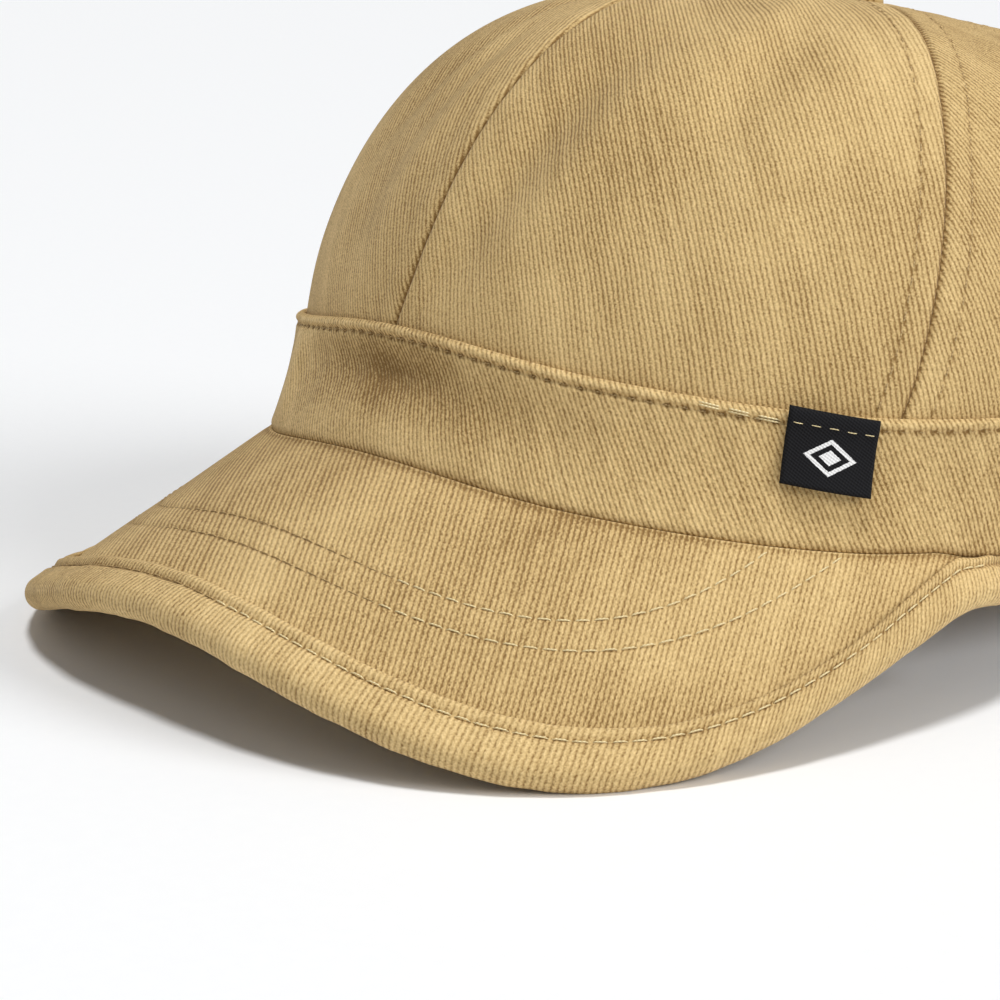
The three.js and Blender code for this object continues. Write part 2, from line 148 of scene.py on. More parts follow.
def through(values, place):
    """A smooth curve through evenly spaced values, mirrored at both ends."""
    values = np.asarray(values, float)
    last = len(values) - 1
    cell = np.clip(np.floor(place).astype(int), 0, last - 1)
    share = place - cell

    def value(index):
        index = np.abs(index)
        return values[np.where(index > last, 2 * last - index, index)]

    before, start, end, after = [value(cell + offset) for offset in (-1, 0, 1, 2)]
    slope, next_slope, rise = (end - before) / 2, (after - start) / 2, end - start
    return start + share * (slope + share * (3 * rise - 2 * slope - next_slope
                                             + share * (slope + next_slope - 2 * rise)))


def wrapped(angle):
    return angle - 360 * np.round(angle / 360)


def rim_column(values, angle):
    return through(values, np.abs(wrapped(angle)) / RIM_STEP)


def plan_point(angle, inset):
    """A place on the rim seen from above, moved inwards."""
    sine, cosine = np.sin(np.radians(angle)), np.cos(np.radians(angle))
    reach = rim_column(RIM_REACH, angle)
    outwards = np.stack([sine * RIM_LENGTH, -cosine * RIM_WIDTH], -1)
    outwards /= np.linalg.norm(outwards, axis=-1, keepdims=True)
    x = reach * RIM_WIDTH / 2 * signed_power(sine, 2 / RIM_SQUARENESS)
    y = -reach * RIM_LENGTH / 2 * signed_power(cosine, 2 / RIM_SQUARENESS)
    return np.stack([x, y], -1) - outwards * np.asarray(inset)[..., None]


def rim_rise(angle):
    return rim_column(RIM_RISE, angle) * BAND_HEIGHT


def band_inset(angle, share):
    """How far the band's face lies inside the rim at a share of its height."""
    hollow = BAND_WALL * through(BAND_HOLLOW, np.clip(share, 0, 1) * (len(BAND_HOLLOW) - 1))
    inset = hollow + rim_column(RIM_LEAN, angle) * BAND_HEIGHT * share
    margin = smooth(share, 0, DENT_MARGIN) * (1 - smooth(share, 1 - DENT_MARGIN, 1))
    for centre, height, depth, width, tall in DENTS:
        dent = bump(wrapped(angle - centre), 0, width) * bump(share, height, tall)
        inset = inset + depth * BAND_WALL * dent * margin
    return inset


def band_point(angle, share, depth):
    angle, share, depth = np.broadcast_arrays(np.asarray(angle, float), share, depth)
    plan = plan_point(angle, depth + band_inset(angle, share))
    return np.concatenate([plan, (rim_rise(angle) + BAND_HEIGHT * share)[..., None]], -1)


TOP_TURN = math.acos((HUB_RADIUS / (RIM_WIDTH / 2)) ** (1 / CROWN_FULLNESS))


def turn_at(climb):
    return TOP_TURN * (1 - np.clip(1 - climb, 0, None) ** ROW_EASE)


def fold_depth(angle, climb):
    depth = 0
    for centre, middle, deep, width, length, slant in FOLDS:
        along = (climb - middle) / length
        across = wrapped(angle - centre - slant * along) / width
        depth = depth + deep * PANEL_WALL * np.exp(-along * along - across * across)
    return depth * smooth(climb, 0, TUCK_CLIMB) * (1 - smooth(climb, 1 - 2 * TUCK_CLIMB, 1 - TUCK_CLIMB))


def crown_point(angle, climb, out=0.0):
    """A place on the crown: climb goes from 0 at the band's top to 1 at the hub, below 0 into the band."""
    angle, climb, out = np.broadcast_arrays(np.asarray(angle, float), climb, out)
    depth = BAND_WALL + CLEARANCE
    share = 1 + np.minimum(climb, 0) / TUCK_CLIMB * PANEL_TUCK / BAND_HEIGHT
    foot = band_point(angle, share, depth + np.where(climb > 0, fold_depth(angle, climb), 0))
    turn = turn_at(np.maximum(climb, 0))
    spread = np.cos(turn) ** CROWN_FULLNESS
    lift = np.sin(turn) ** CROWN_ROUNDNESS
    return np.stack([
        foot[..., 0] * spread,
        mix(CROWN_TOP_SHIFT, foot[..., 1], spread),
        mix(foot[..., 2], CROWN_HEIGHT, lift),
    ], -1)


def unit(vectors):
    return vectors / np.maximum(np.linalg.norm(vectors, axis=-1, keepdims=True), 1e-12)


def crown_normal(angle, climb, step=2e-3):
    top = np.minimum(climb + step, 1)
    around = crown_point(angle + 0.2, climb) - crown_point(angle - 0.2, climb)
    upwards = crown_point(angle, top) - crown_point(angle, climb - step)
    return unit(np.cross(around, upwards))


def seam_angle(seam, side, climb):
    """The angle of a seam on one side of the hat. The front seam wanders a little as the hat lies."""
    rise = np.maximum(climb, 0)
    if seam == "front":
        return 0.4 - 2.3 * np.exp(-7 * rise) + 1.5 * np.sin(math.pi * rise)
    angle, sweep = SEAMS[seam]
    return side * (angle - sweep * np.exp(-SEAM_SWEEP_RATE * rise))


def start_climb(angle):
    """Where a column starts: at the foot of the tuck, or on the arch at the back."""
    foot = band_point(angle, 1.0, BAND_WALL + CLEARANCE)
    across = np.clip(2 * foot[..., 0] / ARCH_WIDTH, -1, 1)
    height = ARCH_HEIGHT * np.sqrt(1 - across ** 2) - foot[..., 2]
    low = np.maximum(height / PANEL_TUCK, -1) * TUCK_CLIMB
    share = np.clip(height / (CROWN_HEIGHT - foot[..., 2]), 0, 1)
    turn = np.arcsin(share ** (1 / CROWN_ROUNDNESS))
    high = 1 - (1 - turn / TOP_TURN) ** (1 / ROW_EASE)
    start = np.where(height <= 0, low, high)
    return np.where((foot[..., 1] < 0) | (np.abs(2 * foot[..., 0]) >= ARCH_WIDTH), -TUCK_CLIMB, start)


# The hat's own frame to the table's: lean back, then shift to where the frame has the band
def lean_back(points):
    cosine, sine = math.cos(math.radians(TILT)), math.sin(math.radians(TILT))
    y = points[..., 1] - RIM_LENGTH / 2
    z = points[..., 2]
    return np.stack([points[..., 0], y * cosine + z * sine, -y * sine + z * cosine], -1)


ARCH_ANGLE = 180 - math.degrees(math.asin((ARCH_WIDTH / RIM_WIDTH) ** (RIM_SQUARENESS / 2)))
_rear_corner = lean_back(band_point(ARCH_ANGLE, np.array([0.0, 1.0]), 0.0))[..., 1].max()
SHIFT = np.array([0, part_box("band")[1].y / MM - _rear_corner, 0])


def to_table(points):
    placed = lean_back(points) + SHIFT
    placed[..., 2] = np.maximum(placed[..., 2], 0)
    return placed * MM


def link_object(name, data):
    item = bpy.data.objects.new(name, data)
    bpy.context.scene.collection.objects.link(item)
    return item


# Meshes
def link_mesh(name, points, faces, uv, material, shade=None):
    mesh = bpy.data.meshes.new(name)
    mesh.from_pydata(points.tolist(), [], faces.tolist() if isinstance(faces, np.ndarray) else faces)
    if uv is not None:
        layer = mesh.uv_layers.new(name="cloth")
        corners = np.zeros(len(mesh.loops), np.int32)
        mesh.loops.foreach_get("vertex_index", corners)
        layer.data.foreach_set("uv", uv[corners].astype(np.float32).ravel())
    # The shade attribute holds painted shade and painted highlight for each point
    layer = mesh.attributes.new("shade", "FLOAT", "POINT")
    values = np.zeros(len(points)) if shade is None else shade
    layer.data.foreach_set("value", np.asarray(values, np.float32).ravel())
    mesh.polygons.foreach_set("use_smooth", [True] * len(mesh.polygons))
    mesh.materials.append(material)
    mesh.update()
    return link_object(name, mesh)


def grid_faces(columns, rows, offset=0, flip=False):
    i, j = np.meshgrid(np.arange(columns), np.arange(rows), indexing="ij")
    a = (i * (rows + 1) + j).ravel() + offset
    quads = np.stack([a, a + rows + 1, a + rows + 2, a + 1], -1)
    return quads[:, ::-1] if flip else quads


def sheet_piece(name, face, back, uv, material, shade=None):
    """A closed cloth piece between a face and a back, both grids of points in millimetres."""
    columns, rows = face.shape[0] - 1, face.shape[1] - 1
    count = (columns + 1) * (rows + 1)
    points = np.concatenate([face.reshape(-1, 3), back.reshape(-1, 3)])
    index = np.arange(count).reshape(columns + 1, rows + 1)
    rim = np.concatenate([index[:, 0], index[-1, 1:], index[-2::-1, -1], index[0, -2:0:-1]])
    after = np.roll(rim, -1)
    sides = np.stack([rim, rim + count, after + count, after], -1)
    faces = np.concatenate([grid_faces(columns, rows), grid_faces(columns, rows, count, True), sides])
    if signed_volume(points, faces) < 0:
        faces = faces[:, ::-1]
    flat = np.concatenate([uv.reshape(-1, 2), uv.reshape(-1, 2)])
    values = np.zeros(2 * count)
    if shade is not None:
        values[:count] = shade.ravel()
    return link_mesh(name, to_table(points), faces, flat, material, values)


def ring_corners(stations, sides):
    """The first and second corner of each quad between closed rings of points."""
    i, j = np.meshgrid(np.arange(stations - 1), np.arange(sides), indexing="ij")
    return (i * sides + j).ravel(), (i * sides + (j + 1) % sides).ravel()


def loft_piece(name, rings, uv, material, shade=None):
    """A closed body through closed rings of points, with a flat cap at each end."""
    stations, sides = rings.shape[:2]
    a, b = ring_corners(stations, sides)
    quads = np.stack([a, a + sides, b + sides, b], -1)
    points = rings.reshape(-1, 3)
    half = sides // 2
    caps = []
    for start in (0, (stations - 1) * sides):
        last = start + sides - 1
        row = [[start + k, start + k + 1, last - k - 1, last - k] for k in range(half - 1)]
        caps += row if start else [face[::-1] for face in row]
    faces = np.concatenate([quads, np.array(caps)])
    if signed_volume(points, faces) < 0:
        faces = faces[:, ::-1]
    return link_mesh(name, to_table(points), faces, uv.reshape(-1, 2), material, shade)


def signed_volume(points, faces):
    a, b, c, d = (points[faces[:, k]] for k in range(4))
    return float(np.sum(a * np.cross(b, c)) + np.sum(a * np.cross(c, d)))


def lengths(points, axis):
    """Distance run along one axis of a grid of points, from its start."""
    steps = np.linalg.norm(np.diff(points, axis=axis), axis=-1)
    start = np.zeros_like(np.take(steps, [0], axis=axis))
    return np.concatenate([start, np.cumsum(steps, axis=axis)], axis=axis)


# Materials
def linear(red, green, blue):
    """An sRGB colour of 0 to 255 as linear light."""
    values = [c / 255 for c in (red, green, blue)]
    return tuple(c / 12.92 if c <= 0.04045 else ((c + 0.055) / 1.055) ** 2.4 for c in values) + (1.0,)


class Nodes:
    """Short calls for building a material from nodes."""

    def __init__(self, name):
        self.material = bpy.data.materials.new(name)
        self.material.use_nodes = True
        self.tree = self.material.node_tree
        self.shader = self.tree.nodes["Principled BSDF"]

    def new(self, kind, inputs=(), **settings):
        node = self.tree.nodes.new(kind)
        for key, value in settings.items():
            setattr(node, key, value)
        for socket, value in dict(inputs).items():
            self.put(node.inputs[socket], value)
        return node

    def put(self, socket, value):
        if isinstance(value, bpy.types.NodeSocket):
            self.tree.links.new(value, socket)
        else:
            socket.default_value = value

    def math(self, operation, *values, clamp=False):
        node = self.new("ShaderNodeMath", operation=operation, use_clamp=clamp)
        for socket, value in zip(node.inputs, values):
            self.put(socket, value)
        return node.outputs[0]

    def cloth(self):
        """The place on the flat cloth, in millimetres."""
        return self.new("ShaderNodeUVMap", uv_map="cloth").outputs["UV"]

    def surface(self, inputs):
        for socket, value in inputs.items():
            self.put(self.shader.inputs[socket], value)
        return self.material

    def plus(self, value, noise, amount):
        """A value with a noise of 0 to 1 added, as a swing either way."""
        return self.math("ADD", value, self.math("MULTIPLY", self.math("SUBTRACT", noise, 0.5), amount))

    def wave(self, turns, operation="COSINE"):
        """A wave from 0 to 1 over each whole turn."""
        turned = self.math(operation, self.math("MULTIPLY", turns, math.tau))
        return self.math("MULTIPLY_ADD", turned, 0.5, 0.5)

    def noise(self, vector, scale, detail=2.0, roughness=0.5):
        inputs = {"Vector": vector, "Scale": scale, "Detail": detail, "Roughness": roughness}
        return self.new("ShaderNodeTexNoise", inputs).outputs["Fac"]

    def colour(self, share, start, end, blend="MIX"):
        node = self.new("ShaderNodeMix", data_type="RGBA", blend_type=blend)
        self.put(node.inputs[0], share)
        self.put(node.inputs[6], start)
        self.put(node.inputs[7], end)
        return node.outputs[2]

    def bumped(self, height, distance, strength=1.0, normal=None):
        inputs = {"Height": height, "Distance": distance, "Strength": strength}
        if normal is not None:
            inputs["Normal"] = normal
        return self.new("ShaderNodeBump", inputs).outputs["Normal"]


KHAKI_LIGHT = linear(231, 202, 146)
KHAKI_MIDDLE = linear(201, 171, 117)
KHAKI_DARK = linear(136, 105, 61)
CROWN_RIB_PITCH = 0.86
PEAK_RIB_PITCH = 1.06
THREAD_PITCH = 0.8
STREAK_LEAN = 28
# How deep the bump of each cloth is, in metres
TWILL_BUMP = 0.00013
THREAD_BUMP = 0.00006
TAB_BUMP = 0.00012


def twill(name, rib_angle, pitch, seed=0.0, slant=-1.0):
    """Washed cotton twill, laid out in millimetres. Its ribs lean by rib_angle and its streaks by slant."""
    n = Nodes(name)
    uv = n.cloth()
    place = n.new("ShaderNodeVectorMath", operation="ADD")
    n.put(place.inputs[0], uv)
    n.put(place.inputs[1], (seed, seed * 1.7, seed))
    here = place.outputs[0]
    split = n.new("ShaderNodeSeparateXYZ", {0: here})
    cosine, sine = math.cos(math.radians(rib_angle)), math.sin(math.radians(rib_angle))
    x, y = split.outputs[0], split.outputs[1]
    across = n.math("ADD", n.math("MULTIPLY", x, cosine), n.math("MULTIPLY", y, sine))
    along = n.math("SUBTRACT", n.math("MULTIPLY", y, cosine), n.math("MULTIPLY", x, sine))

    # Ribs, nearly straight, with a little drift and jitter
    drift = n.noise(here, 0.09, 2.0)
    jitter = n.noise(here, 1.3, 2.0)
    phase = n.math("DIVIDE", across, pitch)
    phase = n.plus(phase, drift, 0.5)
    phase = n.plus(phase, jitter, 0.55)
    rib = n.wave(phase)
    line = n.math("FLOOR", phase)

    # Twisted yarn along each rib, with loose fibres and worn spots over both
    twist = n.math("ADD", n.math("DIVIDE", along, THREAD_PITCH), n.math("MULTIPLY", line, 0.37))
    twist = n.math("ADD", twist, n.math("MULTIPLY", phase, 0.8))
    twist = n.math("ADD", twist, n.math("MULTIPLY", jitter, 1.6))
    thread = n.wave(twist)
    fibre = n.noise(here, 2.6, 3.0, 0.7)
    grain = n.noise(here, 1.15, 2.0, 0.6)
    crest = n.math("POWER", rib, 0.7)
    yarn = n.math("MULTIPLY", crest, n.math("MULTIPLY_ADD", thread, 0.24, 0.76))
    height = n.math("ADD", yarn, n.math("MULTIPLY", fibre, 0.9))

    # Colour: dark between the ribs, light on their crests: partly the yarn's own tone, partly painted shade
    # and painted highlight
    tone = n.math("MULTIPLY_ADD", yarn, 0.58, 0.15)
    tone = n.plus(tone, fibre, 1.7)
    tone = n.plus(tone, grain, 0.5)

    # Uneven dye and wear in slanted streaks, each rib a little its own
    turned = n.new("ShaderNodeMapping", vector_type="TEXTURE")
    n.put(turned.inputs["Vector"], here)
    turned.inputs["Rotation"].default_value = (0, 0, math.radians(-STREAK_LEAN * slant))
    turned.inputs["Scale"].default_value = (1, 2.2, 1)
    streak = n.noise(turned.outputs[0], 0.11, 3.0, 0.6)
    patch = n.noise(here, 0.026, 2.0, 0.5)
    own = n.new("ShaderNodeTexWhiteNoise", {"W": line}, noise_dimensions="1D").outputs["Value"]
    tone = n.plus(tone, streak, 0.4)
    tone = n.plus(tone, patch, 0.7)
    tone = n.plus(tone, own, 0.12)
    # Painted shade and painted highlight from each piece's shade attribute, added to the tone
    shade = n.new("ShaderNodeAttribute", attribute_name="shade").outputs["Fac"]
    tone = n.math("ADD", tone, shade)
    ramp = n.new("ShaderNodeValToRGB", {0: tone})
    ramp.color_ramp.elements[0].color = KHAKI_DARK
    ramp.color_ramp.elements[1].color = KHAKI_LIGHT
    middle = ramp.color_ramp.elements.new(0.48)
    middle.color = KHAKI_MIDDLE
    speck = n.noise(here, 0.8, 1.0)
    dark_speck = n.math("MULTIPLY", n.math("SUBTRACT", speck, 0.77, clamp=True), 6.0, clamp=True)
    return n.surface({
        "Base Color": n.colour(dark_speck, ramp.outputs[0], KHAKI_DARK),
        "Roughness": 0.95,
        "Specular IOR Level": 0.12,
        "Sheen Weight": 0.08,
        "Sheen Roughness": 0.5,
        "Normal": n.bumped(height, TWILL_BUMP),
    })


def thread_material(name, light, dark):
    n = Nodes(name)
    uv = n.cloth()
    split = n.new("ShaderNodeSeparateXYZ", {0: uv})
    twist = n.math("ADD", n.math("MULTIPLY", split.outputs[0], 1.6), split.outputs[1])
    ply = n.wave(twist, "SINE")
    normal = n.bumped(ply, THREAD_BUMP, 0.8)
    return n.surface({"Base Color": n.colour(ply, dark, light), "Roughness": 0.6, "Normal": normal})


# Weave of the tab and its lozenge, in millimetres from the tab's middle
WEAVE_LEAN = 0.55
WEAVE_PITCH = 0.55
CROSS_LEAN = 0.3
CROSS_PITCH = 0.5
LOZENGE_HALF_WIDTH = 4.6
LOZENGE_HALF_HEIGHT = 3.1
LOZENGE_DROP = 0.9


def tab_material():
    """Black woven label with a plain woven lozenge."""
    n = Nodes("tab_weave")
    uv = n.cloth()
    split = n.new("ShaderNodeSeparateXYZ", {0: uv})
    u, v = split.outputs[0], split.outputs[1]
    leaning = n.math("ADD", n.math("MULTIPLY", u, WEAVE_LEAN), v)
    rib = n.math("SINE", n.math("MULTIPLY", leaning, math.tau / WEAVE_PITCH))
    crossing = n.math("SUBTRACT", u, n.math("MULTIPLY", v, CROSS_LEAN))
    cross = n.math("SINE", n.math("MULTIPLY", crossing, math.tau / CROSS_PITCH))
    weave = n.math("MULTIPLY_ADD", n.math("ADD", rib, n.math("MULTIPLY", cross, 0.6)), 0.3, 0.5)
    ragged = n.math("MULTIPLY", n.math("SUBTRACT", n.noise(uv, 2.2, 2.0), 0.5), 0.09)
    aside = n.math("DIVIDE", n.math("ABSOLUTE", u), LOZENGE_HALF_WIDTH)
    upwards = n.math("DIVIDE", n.math("ABSOLUTE", n.math("ADD", v, LOZENGE_DROP)), LOZENGE_HALF_HEIGHT)
    spread = n.math("ADD", n.math("ADD", aside, upwards), ragged)
    ring = n.math("MULTIPLY", n.math("GREATER_THAN", spread, 0.74), n.math("LESS_THAN", spread, 1.0))
    heart = n.math("LESS_THAN", spread, 0.42)
    motif = n.math("MAXIMUM", ring, heart)
    ground = n.colour(weave, linear(8, 8, 10), linear(30, 30, 33))
    white = n.colour(weave, linear(212, 212, 212), linear(245, 245, 245))
    height = n.math("ADD", weave, n.math("MULTIPLY", motif, 1.2))
    return n.surface({
        "Base Color": n.colour(motif, ground, white),
        "Roughness": 0.85,
        "Specular IOR Level": 0.2,
        "Normal": n.bumped(height, TAB_BUMP, 0.8),
    })


def metal_material():
    n = Nodes("buckle_metal")
    place = n.new("ShaderNodeTexCoord").outputs["Object"]
    wear = n.noise(place, 220.0, 4.0)
    return n.surface({
        "Base Color": n.colour(wear, linear(128, 100, 58), linear(196, 168, 112)),
        "Roughness": n.math("MULTIPLY_ADD", wear, 0.25, 0.25),
        "Metallic": 1.0,
        "Normal": n.bumped(n.noise(place, 900.0, 2.0), 0.00003, 0.4),
    })


THREAD_TAN = thread_material("thread_tan", linear(206, 178, 124), linear(140, 108, 62))
THREAD_CREAM = thread_material("thread_cream", linear(246, 232, 186), linear(214, 190, 136))


def finish_piece(piece, slot, *nodes):
    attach(piece, "root")
    if nodes:
        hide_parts(*nodes)
    return piece


# Stitches: short round threads laid along a path, each sunk at its two ends
STITCH_SIDES = 6
STITCH_RINGS = 6
stitch_meshes = {}


def add_stitches(group, path, normals, length=2.7, gap=0.7, radius=0.2, lift=0.12):
    run = lengths(path, 0)
    total = run[-1]
    count = int(total // (length + gap))
    starts = (np.arange(count) + 0.5) * total / count - length / 2
    share = np.linspace(0, 1, STITCH_RINGS)
    places = starts[:, None] + share * length
    rng = np.random.default_rng(len(path) + count)
    wobble = rng.normal(0, 0.05, (count, 1))

    def along(values):
        return np.stack([np.interp(places, run, values[:, k]) for k in range(3)], -1)

    middle = along(path)
    up = unit(along(normals))
    ahead = unit(np.gradient(middle, axis=1))
    aside = unit(np.cross(up, ahead))
    rise = lift - (2 * radius + lift) * np.abs(2 * share - 1) ** 6
    middle = middle + up * rise[None, :, None] + aside * (wobble * np.sin(share * math.pi))[..., None]
    turn = np.linspace(0, math.tau, STITCH_SIDES, endpoint=False)
    swell = radius * (1 - 0.35 * np.abs(2 * share - 1) ** 4)
    ring = (up[:, :, None, :] * np.cos(turn)[None, None, :, None]
            + aside[:, :, None, :] * np.sin(turn)[None, None, :, None]) * swell[None, :, None, None]
    points = (middle[:, :, None, :] + ring).reshape(-1, 3)
    uv = np.stack(np.broadcast_arrays(places[:, :, None], turn / math.tau), -1).reshape(-1, 2)
    stitch_meshes.setdefault(group, []).append((count, points, uv))


def link_stitches(group, material, slot):
    per = STITCH_RINGS * STITCH_SIDES
    a, b = ring_corners(STITCH_RINGS, STITCH_SIDES)
    quads = np.stack([a, b, b + STITCH_SIDES, a + STITCH_SIDES], -1)
    last = per - STITCH_SIDES
    # Two quads close each six-sided end
    caps = [[0, 5, 4, 3], [0, 3, 2, 1]] + [[last + k for k in row] for row in ([0, 1, 2, 3], [0, 3, 4, 5])]
    one = np.concatenate([quads, np.array(caps)])
    faces, points, uvs, offset = [], [], [], 0
    for count, block, uv in stitch_meshes[group]:
        faces.append((one[None] + (offset + np.arange(count) * per)[:, None, None]).reshape(-1, 4))
        points.append(block)
        uvs.append(uv)
        offset += count * per
    points, faces, uvs = (np.concatenate(blocks) for blocks in (points, faces, uvs))
    piece = link_mesh(group, to_table(points), faces, uvs, material)
    return finish_piece(piece, slot)


# Crown
STITCH_PITCH = 3.05
PANEL_COLUMNS = 104
PANEL_ROWS = 180
SEAM_ROW = 5.0
CROWN_STITCH = 2.1
# Radius and rise of the threads on the crown
CROWN_THREAD = (0.15, 0.0)
FRONT_THREAD = (0.1, -0.06)
# Relief of a seam in millimetres: the groove, the ridge beside it, the row's furrow and the puckers
SEAM_GROOVE = 0.45
SEAM_RIDGE = 0.16
SEAM_FURROW = 0.1
SEAM_PUCKER = 0.12
WAVE_RELIEF = 1.4
# Panels from front to back: name, first seam, last seam and the lean of the ribs in degrees
PANELS = [("front", "front", "side", 28), ("side", "side", "rear", 23), ("back", "rear", "back", -14)]


def stitch_holes(run):
    """How far a row is pulled in along its run: 1 at each stitch hole and 0 between them."""
    return (0.5 + 0.5 * np.cos(run / STITCH_PITCH * math.tau)) ** 3


def panel_piece(name, start_seam, end_seam, side, ribs, seed):
    even = np.linspace(0, 1, PANEL_COLUMNS + 1)
    shares = mix(even, (1 - np.cos(math.pi * even)) / 2, 0.8)
    start = start_climb(mix(seam_angle(start_seam, side, 0.0), seam_angle(end_seam, side, 0.0), shares))
    rows = np.linspace(0, 1, PANEL_ROWS + 1)
    climb = start[:, None] + (1 - start[:, None]) * rows[None, :]
    spread = np.where(climb > 0, np.cos(turn_at(climb)) ** CROWN_FULLNESS, 1)
    gap = side * np.degrees(0.03 / (RIM_WIDTH / 2 * spread))
    low, high = seam_angle(start_seam, side, climb) + gap, seam_angle(end_seam, side, climb) - gap
    angle = mix(low, high, shares[:, None])
    plain = crown_point(angle, climb)
    normal = crown_normal(angle, climb)
    run = lengths(plain, 1)
    width = lengths(plain, 0)
    full = width[-1:]
    from_seam = np.minimum(width, full - width)
    reach = smooth(full, 8, 30)
    inside_row = smooth(from_seam, 0.3, 1.6) * (1 - smooth(from_seam, SEAM_ROW - 0.8, SEAM_ROW + 0.8))
    groove, row = bump(from_seam, 0, 0.42), bump(from_seam, SEAM_ROW, 0.5)
    hole = stitch_holes(run)
    beside_front = (shares[:, None] < 0.5) & (start_seam == "front")
    row = row * np.where(beside_front, 0.3, 1)
    pucker = np.sin(run * 0.83 + seed) * 0.5 + np.sin(run * 0.41 + 2 * seed) * 0.5
    relief = -SEAM_GROOVE * groove + (SEAM_RIDGE * inside_row - SEAM_FURROW * row) * reach
    relief += SEAM_PUCKER * pucker * bump(from_seam, SEAM_ROW - 1.5, 3.2) * reach
    waves = soft_waves(angle, climb, seed) * smooth(from_seam, SEAM_ROW + 1, 3 * SEAM_ROW)
    relief += WAVE_RELIEF * waves
    # Painted shade in the seam's groove, along the stitched row and in its holes; painted highlight on the
    # ridge inside the row; painted light and shade on the puckers and soft waves
    shade = -0.4 * groove + (0.03 * inside_row - (0.05 + 0.4 * hole) * row) * reach
    shade = shade - 0.03 * pucker * inside_row + 0.07 * waves
    face = plain + normal * relief[..., None]
    back = plain - normal * PANEL_WALL
    uv = np.stack([(width - full / 2) * side, run], -1)
    cloth = twill(name + "_twill", ribs, CROWN_RIB_PITCH, seed * 7.3)
    piece = sheet_piece(name, face, back, uv, cloth, shade)
    return finish_piece(piece, "crown_twill", name)


def soft_waves(angle, climb, seed):
    """Shallow rumples of soft cloth, in millimetres, fading out at the band and at the hub."""
    rng = np.random.default_rng(int(seed * 10) + 3)
    waves = 0
    for _ in range(9):
        across, upwards = rng.uniform(3.5, 8.0), rng.uniform(0.1, 0.28)
        centre = rng.uniform(angle.min(), angle.max())
        middle, slant, size = rng.uniform(0.08, 0.75), rng.uniform(4, 16), rng.normal(0, 0.5)
        along = (climb - middle) / upwards
        waves = waves + size * np.exp(-(((angle - centre - slant * along * 0.5) / across) ** 2) - along ** 2)
    return waves * smooth(climb, 0, 0.12) * (1 - smooth(climb, 0.75, 0.95))


def crown_stitches():
    """Rows of stitches on both sides of each seam. Those by the front seam are finer."""
    for seam in SEAMS:
        for side in (1, -1):
            for row in (SEAM_ROW, -SEAM_ROW):
                if seam in ("front", "back") and row < 0:
                    continue
                climb = np.linspace(0.005, 0.9, 260)
                inwards = -side if seam == "back" else side
                middle = seam_angle(seam, side, climb)
                step = crown_point(middle + 0.5, climb) - crown_point(middle - 0.5, climb)
                degree = np.linalg.norm(step, axis=-1)
                angle = middle + inwards * row / degree
                keep = climb > start_climb(angle) + 0.01
                path = crown_point(angle, climb)[keep]
                thread = FRONT_THREAD if seam == "front" else CROWN_THREAD
                up = crown_normal(angle, climb)[keep]
                add_stitches("stitches_crown", path, up, CROWN_STITCH, STITCH_PITCH - CROWN_STITCH, *thread)


for number, (place_name, start_seam, end_seam, ribs) in enumerate(PANELS):
    for side, word in ((1, "left"), (-1, "right")):
        seed = number * 2 + side + 2
        panel_piece(f"panel_{place_name}_{word}", start_seam, end_seam, side, ribs, seed)
crown_stitches()
link_stitches("stitches_crown", THREAD_TAN, "crown_twill")


# Seat of the peak's ends, as shares of its way round
BEND_START = 0.72
LOWER_START = 0.86
LOWER_STOP = 0.93
UNDER_START = 0.88
FLANGE_LIMIT = 0.75


# Band
BAND_COLUMNS = 1000
ROLL = 0.62
BAND_STITCH_DROP = 2.2
BAND_STITCH = 1.9
BAND_THREAD = (0.15, 0.0)
# Relief of the band in millimetres: the hem's ridge, the row's furrow and each stitch hole in it
BAND_RIDGE = 0.3
BAND_FURROW = 0.16
STITCH_HOLE = 0.4
# Backtack over the band's top edge: its angles and its shares of the band's height
BACKTACK_ANGLES = (40.9, 50.7)
BACKTACK_SHARES = (0.972, 0.917)
BACKTACK_STEPS = 160


def band_surface_normal(angle, share):
    around = band_point(angle + 0.2, share, 0.0) - band_point(angle - 0.2, share, 0.0)
    upwards = band_point(angle, share + 0.01, 0.0) - band_point(angle, share - 0.01, 0.0)
    return unit(np.cross(around, upwards))


def band_ridge(drop):
    """The hem's ridge at a drop below the band's top, from 0 to 1."""
    return smooth(drop, 0.2, 0.9) * (1 - smooth(drop, 1.3, BAND_STITCH_DROP - 0.2))


